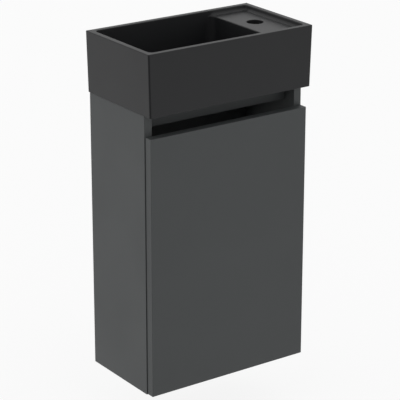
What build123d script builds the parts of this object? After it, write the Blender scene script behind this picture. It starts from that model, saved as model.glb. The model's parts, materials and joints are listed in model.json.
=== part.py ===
from build123d import *
import os
from math import atan2, degrees, hypot, sqrt

# Wall-hung vanity unit in millimetres: +X to the right, -Y to the front, +Z up.
# The origin lies on the wall, at the centre of the four wall screws.

# Carcass
carcass_width = 388.0
carcass_depth = 200.0
carcass_height = 600.0
board = 18.0
origin_below_top = 60.0
edge_round = 0.7

# Basin
basin_width = 401.2
basin_depth = 227.0
basin_height = 129.3
basin_side_draft = 3.4
basin_front_draft = 1.1
basin_corner = 3.5
rim_width = 12.5
rim_round = 1.8
ledge_depth = 11.0
ledge_edge_x = 101.5
ledge_thickness = 12.0
well_corner = 9.0
well_draft = 0.052
bowl_depth = 109.0
bowl_corner = 14.0
bowl_floor_corner = 26.0
bowl_floor_round = 12.0
bowl_floor_thickness = 11.0
bowl_wall = 10.0
skirt = 13.0
tap_hole_radius = 17.5
tap_hole_x = 144.0
tap_hole_y = -106.0
tap_edge_round = 1.5
waste_radius = 23.0
waste_dish_radius = 34.0
waste_dish_depth = 3.0
waste_x = -43.0
waste_y = -112.0

# Silicone bead under the basin
bead_thickness = 1.7
bead_width = 6.0
bead_end_margin = 8.0

# Door
door_side_inset = 1.5
door_bottom_inset = 1.5
door_height = 555.0
door_thickness = 18.0
door_gap = 2.0
bumper_radius = 4.0
bumper_clearance = 0.1
bumper_edge_distance = 9.0
bumper_end_distance = 20.0
bumper_taper = 20.0

# Rails, shelf and their places
front_rail_height = 36.0
front_rail_setback = 32.0
upper_rail_height = 140.0
lower_rail_height = 80.0
back_rail_setback = 16.0
shelf_thickness = 16.0
shelf_side_clearance = 1.0
shelf_back_setback = 36.0
shelf_front_setback = 34.0
shelf_height = 235.0
shelf_pin_radius = 2.5
shelf_pin_clearance = 0.05
shelf_pin_in_panel = 9.0
shelf_pin_out = 8.0
shelf_pin_collar_radius = 3.5
shelf_pin_collar = 0.7
shelf_pin_inset = 24.0
shelf_pin_pitch = 32.0
shelf_pin_rows = 3

# Dowels and cam fittings that join the boards
bottom_dowel_inset = 35.0
bottom_cam_inset = 70.0
upper_rail_low_dowel = 16.0
upper_rail_high_dowel = 92.0
upper_rail_cam_height = 54.0
lower_rail_dowel_inset = 16.0
front_rail_dowel_drop = 9.0
front_rail_cam_height = 11.0
dowel_radius = 4.0
dowel_clearance = 0.05
dowel_in_panel = 11.0
dowel_in_board = 18.0
dowel_end_gap = 0.5
cam_radius = 7.4
cam_bore_radius = 7.5
cam_height = 12.5
cam_bore_depth = 13.0
cam_slot_depth = 1.6
cam_slot_width = 1.6
cam_slot_length = 9.0
bolt_reach = 24.0
bolt_in_panel = 10.0
bolt_radius = 2.5
bolt_bore_radius = 3.6
bolt_thread_clearance = 0.05
bolt_head_radius = 3.0
bolt_head_length = 3.0
cam_bolt_passage = 3.7

# Concealed hinges, in plan: depth into the cabinet from its outer side, and distance in front of
# the carcass, both with the door shut.
hinge_end_distance = 90.0
outer_arm_pin_depth = 30.0
outer_arm_pin_ahead = -12.0
outer_cup_pin_depth = 10.5
outer_cup_pin_ahead = 4.4
outer_knee_depth = 16.8
outer_knee_ahead = 5.4
inner_arm_pin_depth = 35.6
inner_arm_pin_ahead = 7.5
inner_cup_pin_depth = 15.95
inner_cup_pin_ahead = 6.95
inner_eye_depth = 16.05
inner_eye_ahead = 8.2
inner_knee_depth = 25.8
inner_knee_ahead = 7.3
pin_radius = 1.0
pin_clearance = 0.05
pin_end_gap = 0.15
open_eye_radius = 2.6
open_eye_rim = 0.8
link_width = 2.6
link_eye_radius = 2.1
outer_link_half_height = 3.4
inner_link_half_height = 5.2
inner_link_cheek = 1.0
open_pin_lead = 0.3
cup_edge_distance = 4.5
cup_bore_radius = 17.5
cup_radius = 17.4
cup_wall = 1.1
cup_floor = 0.8
cup_room = 11.5
cup_flange = 1.0
cup_flange_half_height = 28.0
cup_flange_reach = 3.0
cup_flange_corner = 7.0
cup_screw_spacing = 45.0
cup_screw_offset = 9.5
cup_screw_radius = 1.75
cup_screw_length = 11.0
screw_clearance = 0.05
screw_head_radius = 3.4
screw_head_height = 1.4
recess_in_head = 0.7
recess_width = 0.8
recess_length = 3.6
arm_length = 60.0
arm_web = 1.4
arm_cheek = 1.0
arm_cheek_gap = 0.4
arm_depth = 10.4
arm_foot = 24.0
arm_web_setback = 18.0
arm_nose_radius = 2.4
arm_front_screw = 30.0
arm_back_screw = 50.0
arm_screw_radius = 2.5
arm_screw_head_radius = 3.6
arm_screw_head_height = 1.6
plate_screw_line = 37.0
plate_screw_pitch = 32.0
plate_thickness = 2.5
plate_half_height = 25.0
plate_wing_depth = 18.0
plate_wing_corner = 6.0
plate_block_back = 58.0
plate_block_front = 24.0
plate_block_clearance = 0.2
plate_screw_length = 13.0

# Cabinet hangers and wall plates
wall_plate_side_distance = 19.0
wall_hole_pitch = 24.0
wall_hole_radius = 3.25
wall_plate_width = 36.0
wall_plate_thickness = 2.0
wall_plate_foot = 24.0
wall_plate_step = 22.0
wall_plate_step_rise = 6.0
wall_plate_offset = 7.0
wall_plate_top = 40.0
hook_thickness = 3.0
hook_bar_height = 7.7
hook_clearance = 0.3
hook_lip = 10.0
hook_lip_thickness = 4.0
hook_end_gap = 2.4
hook_reach = 75.0
hook_side_distance = 10.5
hanger_thickness = 22.0
hanger_front = 88.0
hanger_back = 40.0
hanger_bottom = 2.0
hanger_top = 50.0
hanger_round = 2.0
hanger_slot_clearance = 0.3
adjuster_radius = 3.5
adjuster_clearance = 0.1
adjuster_length = 9.0
adjuster_proud = 0.5
low_adjuster_height = 12.0
high_adjuster_height = 30.0
hanger_back_screw = 50.0
hanger_back_screw_height = 14.0
hanger_front_screw = 70.0
hanger_front_screw_height = 26.0
hanger_screw_radius = 2.4
hanger_screw_in_panel = 11.0
hanger_screw_head_radius = 4.5
hanger_screw_head = 2.0
notch_width = 26.0
notch_bottom = 34.0

# Levels and faces worked out from the sizes above
carcass_top = origin_below_top
carcass_bottom = carcass_top - carcass_height
side_outer = carcass_width / 2
side_inner = side_outer - board
between_sides = 2 * side_inner
carcass_front = -carcass_depth
wall_plate_x = side_inner - wall_plate_side_distance
basin_bottom = carcass_top + bead_thickness
basin_top = basin_bottom + basin_height
ledge_top = basin_top - ledge_depth
bowl_floor = basin_top - bowl_depth
door_back = carcass_front - door_gap
door_front = door_back - door_thickness
door_bottom = carcass_bottom + door_bottom_inset
door_top = door_bottom + door_height
door_width = carcass_width - 2 * door_side_inset
shelf_bottom = carcass_bottom + shelf_height
shelf_front = carcass_front + shelf_front_setback
front_rail_face = carcass_front + front_rail_setback
front_rail_middle = front_rail_face + board / 2
back_rail_middle = -back_rail_setback - board / 2
bottom_middle = carcass_bottom + board / 2
hinge_heights = {"upper": door_top - hinge_end_distance, "lower": door_bottom + hinge_end_distance}
cup_inset = door_side_inset + cup_edge_distance + cup_bore_radius
cup_inner_radius = cup_radius - cup_wall
cup_depth = cup_room + cup_floor
arm_half_height = inner_link_half_height + arm_cheek_gap + arm_cheek
arm_outer = arm_foot + arm_depth
plate_block_outer = arm_outer - arm_web - plate_block_clearance
plate_block_half = arm_half_height - arm_cheek - plate_block_clearance
outer_link_arm_pin = (outer_arm_pin_depth, outer_arm_pin_ahead)
outer_link_cup_pin = (outer_cup_pin_depth, outer_cup_pin_ahead)
outer_link_knee = (outer_knee_depth, outer_knee_ahead)
inner_link_arm_pin = (inner_arm_pin_depth, inner_arm_pin_ahead)
inner_link_cup_pin = (inner_cup_pin_depth, inner_cup_pin_ahead)
inner_link_eye = (inner_eye_depth, inner_eye_ahead)
inner_link_knee = (inner_knee_depth, inner_knee_ahead)
arm_screw_places = (arm_front_screw, arm_back_screw)
adjuster_heights = (low_adjuster_height, high_adjuster_height)
hanger_screw_places = (
    (-hanger_back_screw, hanger_back_screw_height),
    (-hanger_front_screw, hanger_front_screw_height),
)


def at_hinge(depth, ahead):
    """Plan position from a depth inside the right outer side and a distance before the carcass."""
    return (side_outer - depth, carcass_front - ahead)


# Basin


def basin_outline(height, width, depth):
    """Outer outline of the basin at a height, with its back on the wall."""
    with BuildSketch(Plane.XY.offset(height)) as outline:
        with Locations((0, -depth / 2)):
            Rectangle(width, depth)
        fillet(outline.vertices().group_by(Axis.Y)[0], basin_corner)
    return outline.sketch


def well_outline(height, right_edge, right_corner, left_corner):
    """Inner outline at a height, drawn in by the draft of the walls."""
    inset = (basin_top - height) * well_draft
    left = -basin_width / 2 + rim_width + inset
    front = -basin_depth + rim_width + inset
    back = -rim_width - inset
    with BuildSketch(Plane.XY.offset(height)) as outline:
        with Locations(((left + right_edge - inset) / 2, (front + back) / 2)):
            Rectangle(right_edge - inset - left, back - front)
        fillet(outline.vertices().group_by(Axis.X)[0], left_corner)
        fillet(outline.vertices().group_by(Axis.X)[-1], right_corner)
    return outline.sketch


well_right = basin_width / 2 - rim_width
bowl_right = ledge_edge_x + ledge_depth * well_draft
skirt_right = basin_width / 2 - basin_side_draft - skirt
skirt_front = -basin_depth + basin_front_draft + skirt
under_bowl = bowl_floor - bowl_floor_thickness
under_ledge = ledge_top - ledge_thickness
ledge_pocket_left = ledge_edge_x + bowl_wall

with BuildPart() as basin:
    loft([
        basin_outline(basin_bottom, basin_width - 2 * basin_side_draft, basin_depth - basin_front_draft),
        basin_outline(basin_top, basin_width, basin_depth),
    ])
    loft([
        well_outline(basin_top, well_right, well_corner, well_corner),
        well_outline(ledge_top, well_right, well_corner, well_corner),
    ], mode=Mode.SUBTRACT)
    loft([
        well_outline(ledge_top, bowl_right, bowl_corner, well_corner),
        well_outline(bowl_floor, bowl_right, bowl_floor_corner, bowl_floor_corner),
    ], mode=Mode.SUBTRACT)
    bowl_floor_face = basin.faces().filter_by(Axis.Z).sort_by(Axis.Z)[1]
    fillet(bowl_floor_face.edges(), bowl_floor_round)
    fillet(basin.faces().sort_by(Axis.Z)[-1].edges(), rim_round)
    # Pocket behind the skirt, then the taller one below the tap ledge
    with BuildSketch(Plane.XY.offset(basin_bottom)) as pocket:
        with Locations((0, (skirt_front - skirt) / 2)):
            RectangleRounded(2 * skirt_right, -skirt - skirt_front, basin_corner)
    extrude(amount=under_bowl - basin_bottom, mode=Mode.SUBTRACT)
    with BuildSketch(Plane.XY.offset(basin_bottom)) as ledge_pocket:
        with Locations(((ledge_pocket_left + skirt_right) / 2, (skirt_front - skirt) / 2)):
            RectangleRounded(skirt_right - ledge_pocket_left, -skirt - skirt_front, basin_corner)
    extrude(amount=under_ledge - basin_bottom, mode=Mode.SUBTRACT)
    with Locations((tap_hole_x, tap_hole_y, ledge_top)):
        Hole(tap_hole_radius, ledge_thickness)
    tap_hole_edge = basin.edges().filter_by(GeomType.CIRCLE).filter_by(
        lambda edge: abs(edge.arc_center.X - tap_hole_x) < tap_edge_round).sort_by(Axis.Z)[-1]
    fillet(tap_hole_edge, tap_edge_round)
    with Locations((waste_x, waste_y, bowl_floor)):
        Hole(waste_radius, bowl_floor_thickness)
        Cone(waste_radius, waste_dish_radius, waste_dish_depth, mode=Mode.SUBTRACT,
             align=(Align.CENTER, Align.CENTER, Align.MAX))

with BuildPart() as silicone_bead:
    with Locations([(side * (side_outer - board / 2), -carcass_depth / 2, carcass_top) for side in (-1, 1)]):
        Box(bead_width, carcass_depth - 2 * bead_end_margin, bead_thickness,
            align=(Align.CENTER, Align.CENTER, Align.MIN))

# Carcass boards. Each list holds the places along Y and Z of the fittings in a board's ends.
bottom_dowels = [(y, bottom_middle) for y in (-bottom_dowel_inset, carcass_front + bottom_dowel_inset)]
bottom_cams = [(y, bottom_middle) for y in (-bottom_cam_inset, carcass_front + bottom_cam_inset)]
upper_rail_bottom = carcass_top - upper_rail_height
upper_dowels = [
    (back_rail_middle, upper_rail_bottom + upper_rail_low_dowel),
    (back_rail_middle, upper_rail_bottom + upper_rail_high_dowel),
]
upper_cams = [(back_rail_middle, upper_rail_bottom + upper_rail_cam_height)]
lower_rail_bottom = carcass_bottom + board
lower_rail_top = lower_rail_bottom + lower_rail_height
lower_dowels = [
    (back_rail_middle, lower_rail_bottom + lower_rail_dowel_inset),
    (back_rail_middle, lower_rail_top - lower_rail_dowel_inset),
]
lower_cams = [(back_rail_middle, lower_rail_bottom + lower_rail_height / 2)]
front_rail_bottom = carcass_top - front_rail_height
front_dowels = [(front_rail_middle, carcass_top - front_rail_dowel_drop)]
front_cams = [(front_rail_middle, front_rail_bottom + front_rail_cam_height)]
all_dowels = bottom_dowels + upper_dowels + lower_dowels + front_dowels
all_cams = bottom_cams + upper_cams + lower_cams + front_cams
shelf_pin_lines = (shelf_front + shelf_pin_inset, -shelf_back_setback - shelf_pin_inset)
shelf_pin_height = shelf_bottom - shelf_pin_radius


def side_panel(side):
    """One side board with the bores of its inner face; side is -1 on the left and 1 on the right."""
    inner_face = Plane.YZ.offset(side * side_inner)
    with BuildPart() as panel:
        with BuildSketch(inner_face):
            with Locations((-carcass_depth / 2, (carcass_top + carcass_bottom) / 2)):
                Rectangle(carcass_depth, carcass_height)
        extrude(amount=side * board)
        fillet(panel.edges().filter_by(Axis.Z).sort_by(Axis.Y)[0:2], edge_round)
        with BuildSketch(inner_face):
            with Locations(*all_dowels):
                Circle(dowel_radius + dowel_clearance)
        extrude(amount=side * (dowel_in_panel + dowel_end_gap), mode=Mode.SUBTRACT)
        with BuildSketch(inner_face):
            with Locations(*all_cams):
                Circle(bolt_radius + bolt_thread_clearance)
        extrude(amount=side * (bolt_in_panel + dowel_end_gap), mode=Mode.SUBTRACT)
        with BuildSketch(inner_face):
            for line in shelf_pin_lines:
                with Locations((line, shelf_pin_height)):
                    with GridLocations(0, shelf_pin_pitch, 1, shelf_pin_rows):
                        Circle(shelf_pin_radius + shelf_pin_clearance)
        extrude(amount=side * (shelf_pin_in_panel + dowel_end_gap), mode=Mode.SUBTRACT)
        with BuildSketch(inner_face):
            with Locations(*hanger_screw_places):
                Circle(hanger_screw_radius + screw_clearance)
        extrude(amount=side * (hanger_screw_in_panel + dowel_end_gap), mode=Mode.SUBTRACT)
        if side > 0:
            with BuildSketch(inner_face):
                for height in hinge_heights.values():
                    with Locations((carcass_front + plate_screw_line, height)):
                        with GridLocations(0, plate_screw_pitch, 1, 2):
                            Circle(cup_screw_radius + screw_clearance)
            extrude(amount=plate_screw_length, mode=Mode.SUBTRACT)
    return panel


def cross_board(low, high, dowels, cams, cam_face, notched=False):
    """A board between the sides; low and high are its corners along Y and Z.

    cam_face is "under" for cams bored from below and "behind" for cams bored from the back.
    """
    depth = high[0] - low[0]
    height = high[1] - low[1]
    with BuildPart() as piece:
        with BuildSketch(Plane.YZ.offset(-side_inner)):
            with Locations(((low[0] + high[0]) / 2, (low[1] + high[1]) / 2)):
                Rectangle(depth, height)
        extrude(amount=between_sides)
        fillet(piece.edges().filter_by(Axis.X).sort_by(Axis.Y)[0:2], edge_round)
        for side in (-1, 1):
            end_face = Plane.YZ.offset(side * side_inner)
            with BuildSketch(end_face):
                with Locations(*dowels):
                    Circle(dowel_radius + dowel_clearance)
            extrude(amount=-side * (dowel_in_board + dowel_end_gap), mode=Mode.SUBTRACT)
            with BuildSketch(end_face):
                with Locations(*cams):
                    Circle(bolt_bore_radius)
            extrude(amount=-side * bolt_reach, mode=Mode.SUBTRACT)
        for y, z in cams:
            across = z if cam_face == "behind" else y
            centres = [(side * (side_inner - bolt_reach), across) for side in (-1, 1)]
            if cam_face == "behind":
                bore_plane = Plane(origin=(0, high[0], 0), x_dir=(1, 0, 0), z_dir=(0, -1, 0))
            else:
                bore_plane = Plane.XY.offset(low[1])
            with BuildSketch(bore_plane):
                with Locations(*centres):
                    Circle(cam_bore_radius)
            extrude(amount=cam_bore_depth, mode=Mode.SUBTRACT)
        if notched:
            for side in (-1, 1):
                with Locations((side * (side_inner - notch_width / 2), (low[0] + high[0]) / 2, high[1])):
                    Box(notch_width, depth, high[1] - notch_bottom, mode=Mode.SUBTRACT,
                        align=(Align.CENTER, Align.CENTER, Align.MAX))
    return piece


left_side_panel = side_panel(-1)
right_side_panel = side_panel(1)
bottom_panel = cross_board(
    (-carcass_depth, carcass_bottom), (0, carcass_bottom + board), bottom_dowels, bottom_cams, "under")
back_rail_front = -back_rail_setback - board
upper_back_rail = cross_board(
    (back_rail_front, upper_rail_bottom), (-back_rail_setback, carcass_top),
    upper_dowels, upper_cams, "behind", notched=True)
lower_back_rail = cross_board(
    (back_rail_front, lower_rail_bottom), (-back_rail_setback, lower_rail_top),
    lower_dowels, lower_cams, "behind")
front_rail = cross_board(
    (front_rail_face, front_rail_bottom), (front_rail_face + board, carcass_top),
    front_dowels, front_cams, "behind")

with BuildPart() as shelf:
    with BuildSketch(Plane.XY.offset(shelf_bottom)):
        with Locations((0, (shelf_front - shelf_back_setback) / 2)):
            Rectangle(between_sides - 2 * shelf_side_clearance, -shelf_back_setback - shelf_front)
    extrude(amount=shelf_thickness)
    fillet(shelf.edges().filter_by(Axis.X).sort_by(Axis.Y)[0:2], edge_round)


def along_x(side, start, radius, length, places):
    """Round bars along X from start towards the side, at places given along Y and Z."""
    with BuildSketch(Plane.YZ.offset(side * start)) as ends:
        with Locations(*places):
            Circle(radius)
    extrude(ends.sketch, amount=side * length)


shelf_pin_places = [(line, shelf_pin_height) for line in shelf_pin_lines]
with BuildPart() as shelf_pins:
    for side in (-1, 1):
        along_x(side, side_inner - shelf_pin_out, shelf_pin_radius, shelf_pin_out + shelf_pin_in_panel,
                shelf_pin_places)
        along_x(side, side_inner - shelf_pin_collar, shelf_pin_collar_radius, shelf_pin_collar,
                shelf_pin_places)

with BuildPart() as dowels:
    for side in (-1, 1):
        along_x(side, side_inner - dowel_in_board, dowel_radius, dowel_in_board + dowel_in_panel, all_dowels)

with BuildPart() as cam_bolts:
    for side in (-1, 1):
        along_x(side, side_inner - bolt_reach, bolt_radius, bolt_reach + bolt_in_panel, all_cams)
        along_x(side, side_inner - bolt_reach, bolt_head_radius, bolt_head_length, all_cams)


def cam_lock(middle, face_plane):
    """A cam on its board's face plane, with a slot for the driver and a way in for the bolt."""
    side = 1 if middle.X > 0 else -1
    with BuildSketch(face_plane) as outline:
        with Locations(face_plane.to_local_coords(middle)):
            Circle(cam_radius)
    extrude(outline.sketch, amount=cam_height)
    with BuildSketch(face_plane) as slot:
        with Locations(face_plane.to_local_coords(middle)):
            Rectangle(cam_slot_length, cam_slot_width)
    extrude(slot.sketch, amount=cam_slot_depth, mode=Mode.SUBTRACT)
    with BuildSketch(Plane.YZ.offset(middle.X - side * bolt_head_length)) as passage:
        with Locations((middle.Y, middle.Z)):
            Circle(cam_bolt_passage)
    extrude(passage.sketch, amount=side * (cam_radius + 2 * bolt_head_length), mode=Mode.SUBTRACT)


cam_x = side_inner - bolt_reach
with BuildPart() as cam_locks:
    for side in (-1, 1):
        for y, z in bottom_cams:
            cam_lock(Vector(side * cam_x, y, z), Plane.XY.offset(carcass_bottom))
        for y, z in upper_cams + lower_cams:
            cam_lock(Vector(side * cam_x, y, z),
                     Plane(origin=(0, -back_rail_setback, 0), x_dir=(1, 0, 0), z_dir=(0, -1, 0)))
        for y, z in front_cams:
            cam_lock(Vector(side * cam_x, y, z),
                     Plane(origin=(0, front_rail_face + board, 0), x_dir=(1, 0, 0), z_dir=(0, -1, 0)))

# Door
cup_centres = [(side_outer - cup_inset, height) for height in hinge_heights.values()]
cup_screw_x = side_outer - cup_inset - cup_screw_offset
cup_screw_places = [
    (cup_screw_x, height + end * cup_screw_spacing / 2)
    for height in hinge_heights.values() for end in (-1, 1)
]
door_back_plane = Plane(origin=(0, door_back, 0), x_dir=(1, 0, 0), z_dir=(0, -1, 0))


def behind_door(x, z):
    """Local place on the door's back plane of a point given along X and Z."""
    return door_back_plane.to_local_coords(Vector(x, door_back, z))


with BuildPart() as door:
    with BuildSketch(door_back_plane):
        with Locations(behind_door(0, (door_top + door_bottom) / 2)):
            Rectangle(door_width, door_height)
    extrude(amount=door_thickness)
    fillet(door.faces().sort_by(Axis.Y)[0].edges(), edge_round)
    with BuildSketch(door_back_plane):
        with Locations(*[behind_door(x, z) for x, z in cup_centres]):
            Circle(cup_bore_radius)
    extrude(amount=cup_depth + screw_clearance, mode=Mode.SUBTRACT)
    with BuildSketch(door_back_plane):
        with Locations(*[behind_door(x, z) for x, z in cup_screw_places]):
            Circle(cup_screw_radius + screw_clearance)
    extrude(amount=cup_screw_length, mode=Mode.SUBTRACT)

bumper_x = -side_outer + bumper_edge_distance
with BuildPart() as door_bumpers:
    with BuildSketch(door_back_plane):
        with Locations(behind_door(bumper_x, door_top - bumper_end_distance),
                       behind_door(bumper_x, door_bottom + bumper_end_distance)):
            Circle(bumper_radius)
    extrude(amount=-(door_gap - bumper_clearance), taper=bumper_taper)


# Hinges


def hinge_cup(height):
    """Pressed cup with its flange on the door's back."""
    with BuildPart() as cup:
        with BuildSketch(door_back_plane):
            with Locations(behind_door(side_outer - cup_inset, height)):
                Circle(cup_radius)
        extrude(amount=cup_depth)
        flange_edge = side_outer - cup_inset + cup_radius
        flange_end = side_outer - cup_inset - cup_radius - cup_flange_reach
        with BuildSketch(door_back_plane):
            with Locations(behind_door((flange_edge + flange_end) / 2, height)):
                RectangleRounded(flange_edge - flange_end, 2 * cup_flange_half_height, cup_flange_corner)
            screw_heights = [height + end * cup_screw_spacing / 2 for end in (-1, 1)]
            with Locations(*[behind_door(cup_screw_x, place) for place in screw_heights]):
                Circle(cup_screw_radius + screw_clearance, mode=Mode.SUBTRACT)
        extrude(amount=-cup_flange)
        with BuildSketch(door_back_plane.offset(cup_room)):
            with Locations(behind_door(side_outer - cup_inset, height)):
                Circle(cup_inner_radius)
        extrude(amount=-cup_room - cup_flange, mode=Mode.SUBTRACT)
    return cup


def link_plan(points, eye_radii):
    """Plan of a bent link: two bars with round ends and an eye at each end."""
    world = [at_hinge(*point) for point in points]
    for start, end in zip(world[:-1], world[1:]):
        length = hypot(end[0] - start[0], end[1] - start[1])
        turn = degrees(atan2(end[1] - start[1], end[0] - start[0]))
        with Locations(((start[0] + end[0]) / 2, (start[1] + end[1]) / 2)):
            SlotCenterToCenter(length, link_width, rotation=turn)
    for end, radius in zip((world[0], world[-1]), eye_radii):
        with Locations(end):
            Circle(radius)


def outer_link(height):
    """Outer link: one solid bar with an eye round each of its pins."""
    points = (outer_link_arm_pin, outer_link_knee, outer_link_cup_pin)
    with BuildPart() as link:
        with BuildSketch(Plane.XY.offset(height - outer_link_half_height)):
            link_plan(points, (link_eye_radius, link_eye_radius))
            with Locations(at_hinge(*outer_link_arm_pin), at_hinge(*outer_link_cup_pin)):
                Circle(pin_radius + pin_clearance, mode=Mode.SUBTRACT)
        extrude(amount=2 * outer_link_half_height)
    return link


def inner_link(height):
    """Inner link: two cheeks joined by a barrel at the arm; the linkage is open at its wide cup eyes."""
    points = (inner_link_arm_pin, inner_link_knee, inner_link_eye)
    with BuildPart() as link:
        for low in (-inner_link_half_height, inner_link_half_height - inner_link_cheek):
            with BuildSketch(Plane.XY.offset(height + low)):
                link_plan(points, (link_eye_radius, open_eye_radius + open_eye_rim))
                with Locations(at_hinge(*inner_link_eye)):
                    Circle(open_eye_radius, mode=Mode.SUBTRACT)
            extrude(amount=inner_link_cheek)
        with BuildSketch(Plane.XY.offset(height - inner_link_half_height)):
            with Locations(at_hinge(*inner_link_arm_pin)):
                Circle(link_eye_radius)
        extrude(amount=2 * inner_link_half_height)
        with BuildSketch(Plane.XY.offset(height - inner_link_half_height)):
            with Locations(at_hinge(*inner_link_arm_pin)):
                Circle(pin_radius + pin_clearance)
        extrude(amount=2 * inner_link_half_height, mode=Mode.SUBTRACT)
    return link


def hinge_arm(height):
    """Arm: a channel with two cheeks that carry the arm pins at its nose."""
    arm_x, arm_y = at_hinge((arm_foot + arm_outer) / 2, -(arm_length - outer_link_arm_pin[1]) / 2)
    nose = [at_hinge(*outer_link_arm_pin), at_hinge(*inner_link_arm_pin)]
    nose_length = hypot(nose[1][0] - nose[0][0], nose[1][1] - nose[0][1])
    nose_turn = degrees(atan2(nose[1][1] - nose[0][1], nose[1][0] - nose[0][0]))
    with BuildPart() as arm:
        for low in (-arm_half_height, arm_half_height - arm_cheek):
            with BuildSketch(Plane.XY.offset(height + low)):
                with Locations((arm_x, arm_y)):
                    Rectangle(arm_depth, arm_length + outer_link_arm_pin[1])
                with Locations(((nose[0][0] + nose[1][0]) / 2, (nose[0][1] + nose[1][1]) / 2)):
                    SlotCenterToCenter(nose_length, 2 * arm_nose_radius, rotation=nose_turn)
                with Locations(*nose):
                    Circle(pin_radius + pin_clearance, mode=Mode.SUBTRACT)
            extrude(amount=arm_cheek)
        web_length = arm_length - arm_web_setback
        web_x, web_y = at_hinge(arm_outer - arm_web / 2, -(arm_length + arm_web_setback) / 2)
        with Locations((web_x, web_y, height)):
            Box(arm_web, web_length, 2 * arm_half_height)
        with BuildSketch(Plane.YZ.offset(side_outer - arm_outer)):
            with Locations(*[(carcass_front + place, height) for place in arm_screw_places]):
                Circle(arm_screw_radius + screw_clearance)
        extrude(amount=arm_web, mode=Mode.SUBTRACT)
    return arm


def hinge_plate(height):
    """Mounting plate: wings on the side board and a block that the arm sits over."""
    with BuildPart() as plate:
        with BuildSketch(Plane.YZ.offset(side_inner)):
            with Locations((carcass_front + plate_screw_line, height)):
                RectangleRounded(plate_wing_depth, 2 * plate_half_height, plate_wing_corner)
            with Locations((carcass_front + (plate_block_back + plate_block_front) / 2, height)):
                Rectangle(plate_block_back - plate_block_front, 2 * plate_block_half)
        extrude(amount=-plate_thickness)
        block_outer = side_outer - plate_block_outer
        with BuildSketch(Plane.YZ.offset(side_inner)):
            with Locations((carcass_front + (plate_block_back + plate_block_front) / 2, height)):
                Rectangle(plate_block_back - plate_block_front, 2 * plate_block_half)
        extrude(amount=block_outer - side_inner)
        with BuildSketch(Plane.YZ.offset(block_outer)):
            with Locations(*[(carcass_front + place, height) for place in arm_screw_places]):
                Circle(arm_screw_radius + screw_clearance)
        extrude(amount=arm_depth, mode=Mode.SUBTRACT)
        with BuildSketch(Plane.YZ.offset(side_inner)):
            with Locations((carcass_front + plate_screw_line, height)):
                with GridLocations(0, plate_screw_pitch, 1, 2):
                    Circle(cup_screw_radius + screw_clearance)
        extrude(amount=-plate_thickness, mode=Mode.SUBTRACT)
    return plate


cups = {name: hinge_cup(height) for name, height in hinge_heights.items()}
outer_links = {name: outer_link(height) for name, height in hinge_heights.items()}
inner_links = {name: inner_link(height) for name, height in hinge_heights.items()}
arms = {name: hinge_arm(height) for name, height in hinge_heights.items()}
plates = {name: hinge_plate(height) for name, height in hinge_heights.items()}


def screw(base, shaft_radius, length, head_radius, head_height):
    """A round-headed screw; base is the plane under its head, with its normal out of the head."""
    with BuildSketch(base) as shaft:
        Circle(shaft_radius)
    extrude(shaft.sketch, amount=-length)
    with BuildSketch(base) as head:
        Circle(head_radius)
    extrude(head.sketch, amount=head_height)
    with BuildSketch(base.offset(head_height)) as cross:
        Rectangle(recess_length, recess_width)
        Rectangle(recess_width, recess_length)
    extrude(cross.sketch, amount=-recess_in_head, mode=Mode.SUBTRACT)


with BuildPart() as hinge_cup_screws:
    for x, z in cup_screw_places:
        screw(Plane(origin=(x, door_back + cup_flange, z), x_dir=(1, 0, 0), z_dir=(0, 1, 0)),
              cup_screw_radius, cup_screw_length, screw_head_radius, screw_head_height)

with BuildPart() as hinge_plate_screws:
    for height in hinge_heights.values():
        for end in (-1, 1):
            screw(Plane(origin=(side_inner - plate_thickness, carcass_front + plate_screw_line,
                                height + end * plate_screw_pitch / 2), x_dir=(0, 1, 0), z_dir=(-1, 0, 0)),
                  cup_screw_radius, plate_screw_length, screw_head_radius, screw_head_height)

with BuildPart() as hinge_arm_screws:
    for height in hinge_heights.values():
        for place in arm_screw_places:
            screw(Plane(origin=(side_outer - arm_outer, carcass_front + place, height),
                        x_dir=(0, 1, 0), z_dir=(-1, 0, 0)),
                  arm_screw_radius, arm_depth, arm_screw_head_radius, arm_screw_head_height)


def cup_pin_reach(pin):
    """Distance from the cup's middle height to where a pin meets the cup's round wall."""
    return sqrt(cup_inner_radius ** 2 - (cup_inset - pin[0] + pin_radius) ** 2) - pin_end_gap


# The pin at the open eyes is two stubs, so that the outer link passes between them.
open_pin_start = inner_link_half_height - inner_link_cheek - open_pin_lead
with BuildPart() as hinge_cup_pins:
    for height in hinge_heights.values():
        with Locations((*at_hinge(*outer_link_cup_pin), height)):
            Cylinder(pin_radius, 2 * cup_pin_reach(outer_link_cup_pin))
        for end in (-1, 1):
            stub_length = cup_pin_reach(inner_link_cup_pin) - open_pin_start
            stub_middle = height + end * (open_pin_start + stub_length / 2)
            with Locations((*at_hinge(*inner_link_cup_pin), stub_middle)):
                Cylinder(pin_radius, stub_length)

with BuildPart() as hinge_arm_pins:
    for height in hinge_heights.values():
        for pin in (outer_link_arm_pin, inner_link_arm_pin):
            with Locations((*at_hinge(*pin), height)):
                Cylinder(pin_radius, 2 * arm_half_height)

# Hangers and wall plates
hook_x = side_inner - hook_side_distance
hook_bottom = wall_plate_top + hook_clearance
hook_top = hook_bottom + hook_bar_height
hanger_centre_x = side_inner - hanger_thickness / 2


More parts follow.
